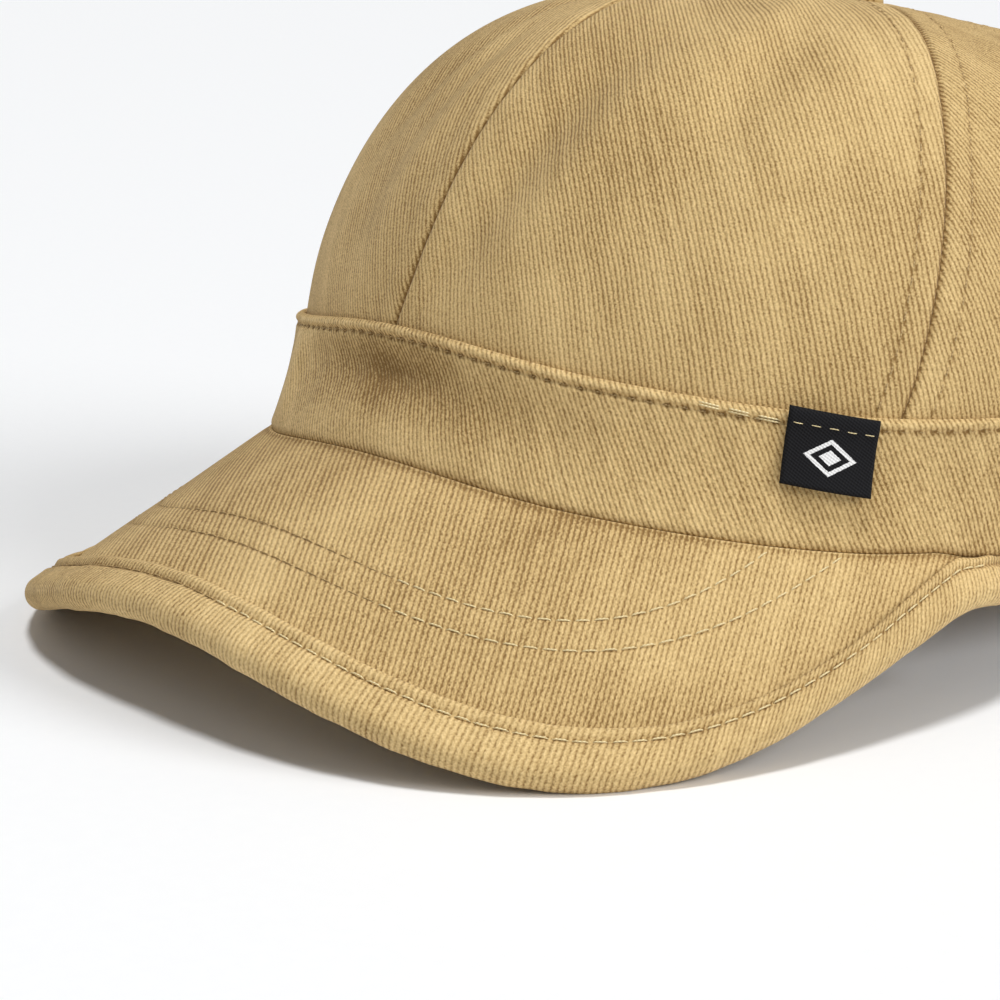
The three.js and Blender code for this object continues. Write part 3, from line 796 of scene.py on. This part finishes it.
def band_piece():
    angle = np.linspace(-ARCH_ANGLE, ARCH_ANGLE, BAND_COLUMNS + 1)[:, None]
    low, middle, high = np.linspace(0, 0.08, 5), np.linspace(0.08, 0.8, 13), np.linspace(0.8, 0.982, 20)
    rise = np.concatenate([low[:-1], middle[:-1], high])
    top = np.linspace(0, math.pi, 9)[1:-1]
    shares = np.concatenate([rise, 1 - ROLL / BAND_HEIGHT * (1 - np.sin(top)), rise[::-1]])
    hem = BAND_WALL / 2 * (1 - np.cos(top))
    depths = np.concatenate([np.zeros(len(rise)), hem, np.full(len(rise), BAND_WALL)])
    drop = BAND_HEIGHT * (1 - rise)
    run = lengths(band_point(angle[:, 0], 0.9, 0.0), 0)[:, None]
    ridge = band_ridge(drop)
    hole = stitch_holes(run)
    row = bump(drop, BAND_STITCH_DROP, 0.42)
    pucker = np.sin(run / STITCH_PITCH * math.tau + 1.0) * bump(drop, 1.1, 0.8)
    rumple = 0.5 * np.sin(run * 0.21 + 1) + 0.3 * np.sin(run * 0.47) + 0.2 * np.sin(run * 0.9 + 2)
    soft = smooth(drop, BAND_STITCH_DROP + 0.5, 8) * smooth(rise, 0.05, 0.3)
    relief = np.zeros((BAND_COLUMNS + 1, len(shares)))
    outer = BAND_RIDGE * ridge - (BAND_FURROW + STITCH_HOLE * hole) * row + 0.07 * pucker
    outer = outer + 0.3 * rumple * soft - 0.4 * bump(rise, 0, 0.03)
    # Hollow, streak and roll shape the band and also carry painted shade in the hollow and painted highlight
    # on the streak and the roll
    hollow = bump(angle, -5, 12) * bump(rise, 0.62, 0.2)
    streak = bump(angle, -25, 2.5) * smooth(rise, 0.1, 0.3) * (1 - smooth(rise, 0.75, 0.9))
    roll = bump(angle, -4, 24) * bump(rise, 0.17, 0.14)
    relief[:, :len(rise)] = outer - 0.45 * hollow + 0.3 * streak + 0.25 * roll
    # Painted shade on the stitched row and its holes, along the band's foot by the peak, under its top edge
    # and wherever the band is dented in; painted highlight on the hem's ridge
    shade = np.zeros_like(relief)
    dark = -(0.12 + 0.6 * hole) * row - 0.3 * bump(rise, 0, 0.025) + 0.06 * ridge - 0.12 * bump(drop, 0, 0.3)
    lean = rim_column(RIM_LEAN, angle) * BAND_HEIGHT * rise
    dark = dark - 0.13 * (band_inset(angle, rise) - band_inset(angle, rise * 0) - lean - BAND_WALL * 0.4)
    shade[:, :len(rise)] = dark - 0.1 * hollow + 0.12 * streak + 0.12 * roll
    rings = band_point(angle, shares[None, :], depths[None, :] - relief)
    along = np.abs(angle) / END_ANGLE
    dip = 0.22 + (BINDING_WALL + CLEARANCE) * smooth(along, LOWER_START, LOWER_STOP)
    dip = dip * (1 - smooth(along, 1.02, 1.1))
    rings[..., 2] -= dip * (1 - smooth(shares, 0.02, 0.4))[None, :]
    uv = np.stack(np.broadcast_arrays(run, (shares * BAND_HEIGHT)[None, :]), -1)
    piece = loft_piece("band", rings, uv, twill("band_twill", 30, CROWN_RIB_PITCH, 31.0, -0.5), shade)
    finish_piece(piece, "band_twill", "band")
    for start, end in ((-ARCH_ANGLE + 2, TAB_ANGLE - 5.2), (TAB_ANGLE + 5.4, ARCH_ANGLE - 2)):
        path_angle = np.linspace(start, end, 900)
        share = 1 - BAND_STITCH_DROP / BAND_HEIGHT
        path = band_point(path_angle, share, 0.28)
        up = band_surface_normal(path_angle, share)
        add_stitches("stitches_band", path, up, BAND_STITCH, STITCH_PITCH - BAND_STITCH, *BAND_THREAD)
    link_stitches("stitches_band", THREAD_TAN, "band_twill")
    for offset in (0.0, 0.45):
        path_angle = np.linspace(*BACKTACK_ANGLES, BACKTACK_STEPS)
        share = np.linspace(*BACKTACK_SHARES, BACKTACK_STEPS) - offset / BAND_HEIGHT
        path = band_point(path_angle, share, -BAND_RIDGE * band_ridge((1 - share) * BAND_HEIGHT))
        add_stitches("stitches_backtack", path, band_surface_normal(path_angle, share), 4.2, 0.15, 0.17, 0.12)
    link_stitches("stitches_backtack", THREAD_CREAM, "band_twill")


# Peak
def peak_height(x, y):
    forward = y + RIM_LENGTH / 2
    arch = x * x / (2 * PEAK_ARCH_RADIUS)
    slope = math.tan(math.radians(PEAK_PITCH))
    return rim_rise(0.0) + forward * slope - forward ** 2 / (2 * PEAK_BOW_RADIUS) - arch


def outline_point(turn):
    power = 2 / PEAK_SQUARENESS
    turn = np.radians(turn)
    x = PEAK_WIDTH / 2 * signed_power(np.sin(turn), power)
    y = -RIM_LENGTH / 2 + PEAK_STATION - (PEAK_REACH + PEAK_STATION) * signed_power(np.cos(turn), power)
    return np.stack([x, y], -1)


def rim_angle(place):
    power = RIM_SQUARENESS / 2
    across = signed_power(2 * place[..., 0] / RIM_WIDTH, power)
    return np.degrees(np.arctan2(across, signed_power(-2 * place[..., 1] / RIM_LENGTH, power)))


def peak_end():
    low, high = 90.0, 170.0
    while high - low > 1e-3:
        turn = (low + high) / 2
        place = outline_point(turn)
        outside = np.hypot(*place) > np.hypot(*plan_point(rim_angle(place), BAND_WALL))
        low, high = (turn, high) if outside else (low, turn)
    return low, float(rim_angle(outline_point(low)))


END_TURN, END_ANGLE = peak_end()


def peak_point(along, out):
    along, out = np.broadcast_arrays(np.asarray(along, float), out)
    end = smooth(np.abs(along), UNDER_START, 1)
    angle = along * END_ANGLE
    sink = (BINDING_WALL + CLEARANCE) * smooth(np.abs(along), LOWER_START, LOWER_STOP)
    seat = rim_rise(angle) - CLEARANCE - sink
    inner = plan_point(angle, mix(PEAK_TUCK, PEAK_END_TUCK, end))
    rim = mix(inner, plan_point(angle, 0.0), (np.minimum(out + 1, 1) * (1 - end))[..., None])
    outer = outline_point(along * END_TURN)
    flat = np.maximum(out, 0)
    plan = mix(rim, outer, flat[..., None])
    hold = mix((1 - flat) ** 2, 1, smooth(np.abs(along), BEND_START, 1))
    surface = peak_height(plan[..., 0], plan[..., 1])
    height = surface + hold * (seat - peak_height(rim[..., 0], rim[..., 1]))
    return np.concatenate([plan, np.where(out <= 0, seat, height)[..., None]], -1)


def peak_frame(along, out):
    further, nearer = np.minimum(out + 0.02, 1), np.maximum(out - 0.02, 0.01)
    outwards = unit(peak_point(along, further) - peak_point(along, nearer))
    before, after = np.maximum(along - 0.01, -1), np.minimum(along + 0.01, 1)
    tangent = peak_point(after, out) - peak_point(before, out)
    normal = unit(np.cross(outwards, tangent))
    return normal * np.sign(normal[..., 2:3]), outwards


# Radius and rise of the threads on the peak
# The left part's threads are tan and the right part's cream: painted shade and painted light on one thread
PEAK_THREAD = {"stitches_peak_shaded": (0.12, -0.08), "stitches_peak_lit": (0.15, 0.03)}
# Stitched rows of the peak: half width, front reach and station of each superellipse
PEAK_ROWS = [(68.23, 56.6, -59.93), (74.91, 71.33, -50.4)]
PEAK_STITCH = 2.6
PEAK_STITCH_GAP = 0.5


def row_out(along, row):
    """Where a stitched row crosses each spoke of the peak, or a value outside 0 to 1."""
    half, reach, station = row
    low, high = np.zeros_like(along), np.ones_like(along)
    for _ in range(24):
        middle = (low + high) / 2
        place = peak_point(along, middle)
        beyond = (np.abs(place[..., 0]) / half) ** PEAK_SQUARENESS \
            + (np.abs(place[..., 1] - station) / reach) ** PEAK_SQUARENESS > 1
        low, high = np.where(beyond, low, middle), np.where(beyond, middle, high)
    return low


def peak_piece():
    along = np.linspace(-1, 1, 261)[:, None]
    outs = np.concatenate([[-1, -0.5], np.linspace(0, 1, 110)])[None, :]
    face = peak_point(along, outs)
    normal, _ = peak_frame(along + 0 * outs, np.maximum(outs, 0.01) + 0 * along)
    reach = np.linalg.norm(face[:, -1:] - face[:, 2:3], axis=-1)
    # Painted shade along the stitched rows, at the peak's foot by the band and in the crease at the binding's
    # hem
    relief, shade = 0.0, 0.0
    for row in PEAK_ROWS:
        crossing = row_out(along, row)
        row_line = bump((outs - crossing) * reach, 0, 0.7) * smooth(crossing, 0.02, 0.1)
        relief = relief - 0.16 * row_line
        shade = shade - 0.09 * row_line
    relief = relief - 0.12 * bump(outs * reach, 0, 1.2)
    shade = shade - 0.35 * bump(outs * reach, 0, 1.4)
    shade = shade - 0.5 * bump((1 - outs) * reach, BINDING_FLANGE + 0.2, 0.6)
    rng = np.random.default_rng(5)
    for _ in range(26):
        centre, place = rng.uniform(-0.8, 0.8), rng.uniform(0.2, 0.9)
        relief = relief + rng.normal(0, 0.1) * bump(along, centre, 0.09) * bump(outs, place, 0.2)
    shown = face + normal * (relief * (outs > 0))[..., None]
    back = face - normal * PEAK_WALL
    run_x = face[..., 0] * (1 + (face[..., 0] / PEAK_ARCH_RADIUS) ** 2 / 6)
    uv = np.stack([run_x, face[..., 1] * 1.12], -1)
    cloth = twill("peak_twill", 41, PEAK_RIB_PITCH, 53.0, 0.6)
    piece = sheet_piece("brim", shown, back, uv, cloth, shade * (outs > 0))
    finish_piece(piece, "peak_twill", "brim")
    for row in PEAK_ROWS:
        line = np.linspace(-0.97, 0.97, 1400)
        crossing = row_out(line, row)
        keep = (crossing > 0.015) & (crossing < 0.97)
        line, crossing = line[keep], crossing[keep]
        path, (up, _) = peak_point(line, crossing), peak_frame(line, crossing)
        # Tan thread on the left part and cream on the right: painted shade and painted light
        for group, part in (("stitches_peak_shaded", line < 0.2), ("stitches_peak_lit", line >= 0.2)):
            if part.sum() > 10:
                add_stitches(group, path[part], up[part], PEAK_STITCH, PEAK_STITCH_GAP, *PEAK_THREAD[group])


BINDING_TURNS = 30
BINDING_STITCH = 4.2


def binding_section():
    """The binding's section: how far back along the peak, outwards past its edge, and above its middle."""
    inside = PEAK_WALL / 2 + CLEARANCE
    outside = inside + BINDING_WALL
    half = BINDING_WALL / 2
    hem = np.linspace(0, math.pi, 7)
    back = np.linspace(0, BINDING_FLANGE, 34)
    coarse = np.linspace(0, BINDING_FLANGE, 12)
    turn = np.linspace(0, math.pi, BINDING_TURNS + 1)[1:-1]
    rows = [(BINDING_FLANGE + half * math.sin(t), 0, inside + half - half * math.cos(t)) for t in hem]
    rows += [(b, 0, outside) for b in back[::-1][1:]]
    rows += [(0, outside * math.sin(t), outside * math.cos(t)) for t in turn]
    rows += [(b, 0, -outside) for b in coarse[:-1]]
    outer = len(rows)
    rows += [(BINDING_FLANGE + half * math.sin(t), 0, -inside - half - half * math.cos(t)) for t in hem]
    rows += [(b, 0, -inside) for b in coarse[::-1][1:]]
    rows += [(0, inside * math.sin(t), inside * math.cos(t)) for t in turn[::-1]]
    rows += [(b, 0, inside) for b in coarse[:-1]]
    return np.array(rows), outer


def binding_place(along, back, past, height):
    """A place on the binding, from the peak's own surface, with the direction away from the peak."""
    spoke = np.linalg.norm(peak_point(along, 1.0) - peak_point(along, 0.0), axis=-1)
    share = back / BINDING_FLANGE
    out = 1 - share * np.minimum(BINDING_FLANGE / spoke, FLANGE_LIMIT)
    normal, outwards = peak_frame(along, out)
    middle = peak_point(along, out) - normal * PEAK_WALL / 2
    away = unit(normal * height[..., None] + outwards * past[..., None])
    return middle + normal * height[..., None] + outwards * past[..., None], away


def binding_piece():
    along = np.linspace(-1, 1, 421)[:, None]
    section, outer = binding_section()
    back, past, height = (np.broadcast_to(section[:, k], (len(along), len(section))) for k in range(3))
    plain, away = binding_place(along + 0 * back, back, past, height)
    run = lengths(plain[:, len(section) // 3], 0)[:, None]
    walk = np.concatenate([[0], np.cumsum(np.linalg.norm(np.diff(section, axis=0), axis=1))])
    top = (height > 0) & (np.arange(len(section)) < outer)[None, :]
    face = (np.arange(len(section)) < outer)[None, :]
    soften = 1 - 0.55 * smooth(-along, 0.45, 0.75)
    groove = bump(back, BINDING_STITCH, 0.55) * top * soften
    hem = bump(back, BINDING_FLANGE - 0.7, 0.75) * top * soften
    swell = smooth(back, BINDING_STITCH, BINDING_STITCH - 1.6) * face
    rng = np.random.default_rng(8)
    rates = (0.11, 0.23, 0.37, 0.61, 0.95)
    wave = sum(rng.normal(0, 0.5) * np.sin(run * rate + rng.uniform(0, 6)) for rate in rates)
    pinch = np.sin(run / STITCH_PITCH * math.tau) * bump(back, BINDING_STITCH - 1.0, 1.0) * top
    relief = -0.25 * groove + 0.36 * hem + 0.22 * swell + (0.06 * wave * face) + 0.06 * pinch
    # Painted shade in the stitched groove; painted highlight on the hem's bead and on the swell
    shade = -0.28 * groove + 0.06 * hem + 0.05 * swell
    rings = plain + away * relief[..., None]
    uv = np.stack(np.broadcast_arrays(run, walk[None, :]), -1)
    piece = loft_piece("brim_binding", rings, uv, twill("binding_twill", 0, PEAK_RIB_PITCH, 77.0, 0.6), shade)
    finish_piece(piece, "binding_twill", "brim_binding")
    # Tan thread on the left part and cream on the right: painted shade and painted light
    for start, end, group in ((-0.96, 0.05, "stitches_peak_shaded"), (0.05, 0.93, "stitches_peak_lit")):
        line = np.linspace(start, end, 700)
        radius = PEAK_WALL / 2 + CLEARANCE + BINDING_WALL
        path, up = binding_place(line, BINDING_STITCH + 0 * line, 0 * line, radius + 0 * line)
        add_stitches(group, path, up, PEAK_STITCH, PEAK_STITCH_GAP, *PEAK_THREAD[group])


band_piece()
peak_piece()
binding_piece()
# The peak's threads as a shaded tan copy and a lit cream copy: painted shade and painted light
link_stitches("stitches_peak_shaded", THREAD_TAN, "peak_twill")
link_stitches("stitches_peak_lit", THREAD_CREAM, "peak_twill")


# Tab
def tab_place(across, down, depth):
    """Across goes from -0.5 to 0.5 towards the rear, down from 0 at the top to 1."""
    radius = np.hypot(*plan_point(np.float64(TAB_ANGLE), 0.0))
    height = BAND_HEIGHT + TAB_RISE - TAB_HEIGHT * down - TAB_SKEW * across
    slack = TAB_LIFT * down ** 2 + 0.25 * bump(down, 0.12, 0.12) + 0.15 * np.sin(across * 5 + 1) * down
    angle = TAB_ANGLE + across * math.degrees(TAB_WIDTH / radius)
    return band_point(angle, height / BAND_HEIGHT, depth - CLEARANCE - 0.15 - slack)


def tab_piece():
    across = np.linspace(-0.5, 0.5, 61)[:, None]
    down = np.linspace(1, 0, 51)[None, :]
    edge = np.minimum((0.5 - np.abs(across)) * TAB_WIDTH, np.minimum(down, 1 - down) * TAB_HEIGHT)
    round_off = 0.35 * (1 - smooth(edge, 0, 0.5))
    face = tab_place(across, down, -TAB_WALL * 0.75 + round_off)
    back = tab_place(across, down, 0.0 * edge)
    uv = np.stack(np.broadcast_arrays(across * TAB_WIDTH, (0.5 - down) * TAB_HEIGHT), -1)
    piece = sheet_piece("label_tab", face, back, uv, tab_material())
    finish_piece(piece, "tab_weave", "label_tab")
    line = np.linspace(-0.49, 0.49, 60)
    path = tab_place(line, 0.2 + 0 * line, -TAB_WALL * 0.75)
    up = path * 0 + unit(tab_place(0.0, 0.2, -1.0) - tab_place(0.0, 0.2, 0.0))
    add_stitches("stitches_tab", path, up, 2.1, 0.7, 0.09, 0.02)
    link_stitches("stitches_tab", THREAD_CREAM, "tab_weave")


tab_piece()


# Button
def button_piece():
    turns = np.linspace(0, math.tau, 73)[:-1]
    climb = np.linspace(0, 1, 20)
    radius = BUTTON_RADIUS * np.cos(climb * math.pi / 2) ** 0.8
    height = BUTTON_HEIGHT * (0.2 + 0.8 * np.sin(climb * math.pi / 2))
    stem = HUB_RADIUS - 2 * CLEARANCE
    foot = [0.01, stem, stem, BUTTON_RADIUS - 0.8, BUTTON_RADIUS - 0.3]
    radius = np.concatenate([foot, radius[:-1], [0.05]])
    height = np.concatenate([[-PANEL_WALL, -PANEL_WALL, 0, 0, 0.25], height])
    crease = 1 + 0.012 * np.cos(6 * turns)[:, None] * (height[None, :] > 0.4)
    rings = np.stack([
        np.cos(turns)[:, None] * radius[None, :] * crease,
        np.sin(turns)[:, None] * radius[None, :] * crease + CROWN_TOP_SHIFT,
        np.broadcast_to(height[None, :] + CROWN_HEIGHT + CLEARANCE, (len(turns), len(radius))),
    ], -1)
    sides, rows = rings.shape[:2]
    i, j = np.meshgrid(np.arange(sides), np.arange(rows - 1), indexing="ij")
    a, b = (i * rows + j).ravel(), (((i + 1) % sides) * rows + j).ravel()
    faces = np.stack([a, b, b + 1, a + 1], -1).tolist()
    faces.append([k * rows for k in range(sides)][::-1])
    faces.append([k * rows + rows - 1 for k in range(sides)])
    uv = rings[..., :2].reshape(-1, 2)
    cloth = twill("button_twill", 25, CROWN_RIB_PITCH, 91.0)
    piece = link_mesh("top_button", to_table(rings.reshape(-1, 3)), faces, uv, cloth)
    finish_piece(piece, "crown_twill", "top_button")


button_piece()


# Strap and buckle
STRAP_DEPTH = BAND_WALL * (1 + max(BAND_HOLLOW)) + PANEL_WALL + 2 * CLEARANCE
STRAP_ROW_INSET = 2.2


def strap_point(angle, height, depth):
    angle, height, depth = np.broadcast_arrays(np.asarray(angle, float), height, depth)
    plan = plan_point(angle, STRAP_DEPTH + depth)
    return np.concatenate([plan, (rim_rise(180.0) + STRAP_RISE + height)[..., None]], -1)


def rounded_section(width, wall, steps):
    """A flat section with round edges, as heights and depths."""
    turn = np.linspace(0, math.pi, 7)[1:-1]
    rise = np.linspace(wall / 2, width - wall / 2, steps)
    half = wall / 2
    inset = half * (1 - np.sin(turn))
    heights = np.concatenate([rise, width - inset, rise[::-1], inset])
    depths = np.concatenate([0 * rise, half * (1 - np.cos(turn)), 0 * rise + wall, half * (1 + np.cos(turn))])
    return heights, depths


def strap_piece():
    reach = 180 - ARCH_ANGLE + math.degrees(STRAP_OVERLAP / (RIM_LENGTH / 2))
    angle = 180 + np.linspace(-reach, reach, 181)[:, None]
    heights, depths = rounded_section(STRAP_WIDTH, STRAP_WALL, 20)
    rings = strap_point(angle, heights[None, :], depths[None, :])
    run = lengths(strap_point(angle[:, 0], 0.0, 0.0), 0)[:, None]
    uv = np.stack(np.broadcast_arrays(run, heights[None, :] + depths[None, :]), -1)
    piece = loft_piece("back_strap", rings, uv, twill("strap_twill", 20, CROWN_RIB_PITCH, 13.0))
    finish_piece(piece, "band_twill", "back_strap")
    for height in (STRAP_ROW_INSET, STRAP_WIDTH - STRAP_ROW_INSET):
        line = angle[:, 0]
        path = strap_point(line, height, 0.0)
        up = unit(path - strap_point(line, height, 1.0))
        add_stitches("stitches_strap", path, up, 2.4, 0.8, 0.18, 0.05)
    link_stitches("stitches_strap", THREAD_TAN, "band_twill")


def buckle_piece():
    slack = 1.5 * CLEARANCE
    half_depth, half_height = STRAP_WALL / 2 + slack, STRAP_WIDTH / 2 + slack
    middle = strap_point(BUCKLE_ANGLE, STRAP_WIDTH / 2, STRAP_WALL / 2)
    inwards = unit(strap_point(BUCKLE_ANGLE, 0.0, 1.0) - strap_point(BUCKLE_ANGLE, 0.0, 0.0))
    up = np.array([0.0, 0.0, 1.0])
    ahead = np.cross(inwards, up)
    corners = []
    for sign_x, sign_y, start in ((1, 1, 0), (-1, 1, 90), (-1, -1, 180), (1, -1, 270)):
        for turn in np.radians(np.linspace(start, start + 90, 7)):
            corners.append((sign_x * half_depth, sign_y * half_height, math.cos(turn), math.sin(turn)))
    section = np.linspace(0, math.tau, 17)[:-1]
    rings = []
    for x, y, cos_turn, sin_turn in corners:
        out = BUCKLE_WALL / 2 * (1 + signed_power(np.cos(section), 0.5))
        side = BUCKLE_LENGTH / 2 * signed_power(np.sin(section), 0.35)
        rings.append(middle + inwards * (x + out[:, None] * cos_turn) + up * (y + out[:, None] * sin_turn)
                     + ahead * side[:, None])
    rings = np.array(rings)
    stations, sides = rings.shape[:2]
    a, b = ring_corners(stations + 1, sides)
    faces = np.stack([a, b, b + sides, a + sides], -1) % (stations * sides)
    points = rings.reshape(-1, 3)
    if signed_volume(points, faces) < 0:
        faces = faces[:, ::-1]
    piece = link_mesh("strap_buckle", to_table(points), faces, None, metal_material())
    finish_piece(piece, "buckle_metal", "strap_buckle")


strap_piece()
buckle_piece()


# Studio
def floor_material():
    n = Nodes("floor_paper")
    place = n.new("ShaderNodeTexCoord").outputs["Object"]
    grain = n.noise(place, 300.0, 3.0)
    colour = n.colour(grain, (0.92, 0.93, 0.945, 1), (0.94, 0.95, 0.96, 1))
    return n.surface({"Base Color": colour, "Roughness": 0.55, "Specular IOR Level": 0.25})


# Half the floor's side, in metres
FLOOR_HALF = 4.0
WORLD_LIGHT = 0.21
# Large far lights: name, direction towards the light, spread in degrees and strength
FAR_LIGHTS = [
    ("top", (0.1, -0.08, 1.0), 12, 1.85),
    ("key", (0.85, 0.33, 0.52), 32, 1.75),
    ("fill", (0.5, -0.75, 0.4), 60, 0.25),
]


def studio():
    mesh = bpy.data.meshes.new("floor")
    corners = [(FLOOR_HALF * x, FLOOR_HALF * y, 0) for x, y in ((-1, -1), (1, -1), (1, 1), (-1, 1))]
    mesh.from_pydata(corners, [], [(0, 1, 2, 3)])
    mesh.materials.append(floor_material())
    floor = link_object("floor", mesh)

    world = bpy.data.worlds.new("studio")
    bpy.context.scene.world = world
    world.use_nodes = True
    background = world.node_tree.nodes["Background"].inputs
    background["Color"].default_value = (1.0, 1.0, 1.0, 1)
    background["Strength"].default_value = WORLD_LIGHT
    for name, source, spread, strength in FAR_LIGHTS:
        lamp = bpy.data.lights.new(name, "SUN")
        lamp.angle = math.radians(spread)
        lamp.energy = strength
        holder = link_object(name, lamp)
        holder.rotation_mode = "QUATERNION"
        holder.rotation_quaternion = Vector(source).to_track_quat("Z", "Y")


def camera():
    data = bpy.data.cameras.new("camera")
    data.lens = CAMERA_LENS
    data.sensor_width = 36
    data.clip_start = 0.01
    holder = link_object("camera", data)
    azimuth, elevation = math.radians(CAMERA_AZIMUTH), math.radians(CAMERA_ELEVATION)
    back = Vector((math.sin(azimuth) * math.cos(elevation), -math.cos(azimuth) * math.cos(elevation),
                   math.sin(elevation)))
    holder.location = (Vector(CAMERA_PLACE) + Vector(SHIFT)) * MM
    holder.rotation_mode = "QUATERNION"
    holder.rotation_quaternion = (-back).to_track_quat("-Z", "Y")
    bpy.context.scene.camera = holder


studio()
camera()
bpy.context.scene.view_settings.view_transform = "Standard"
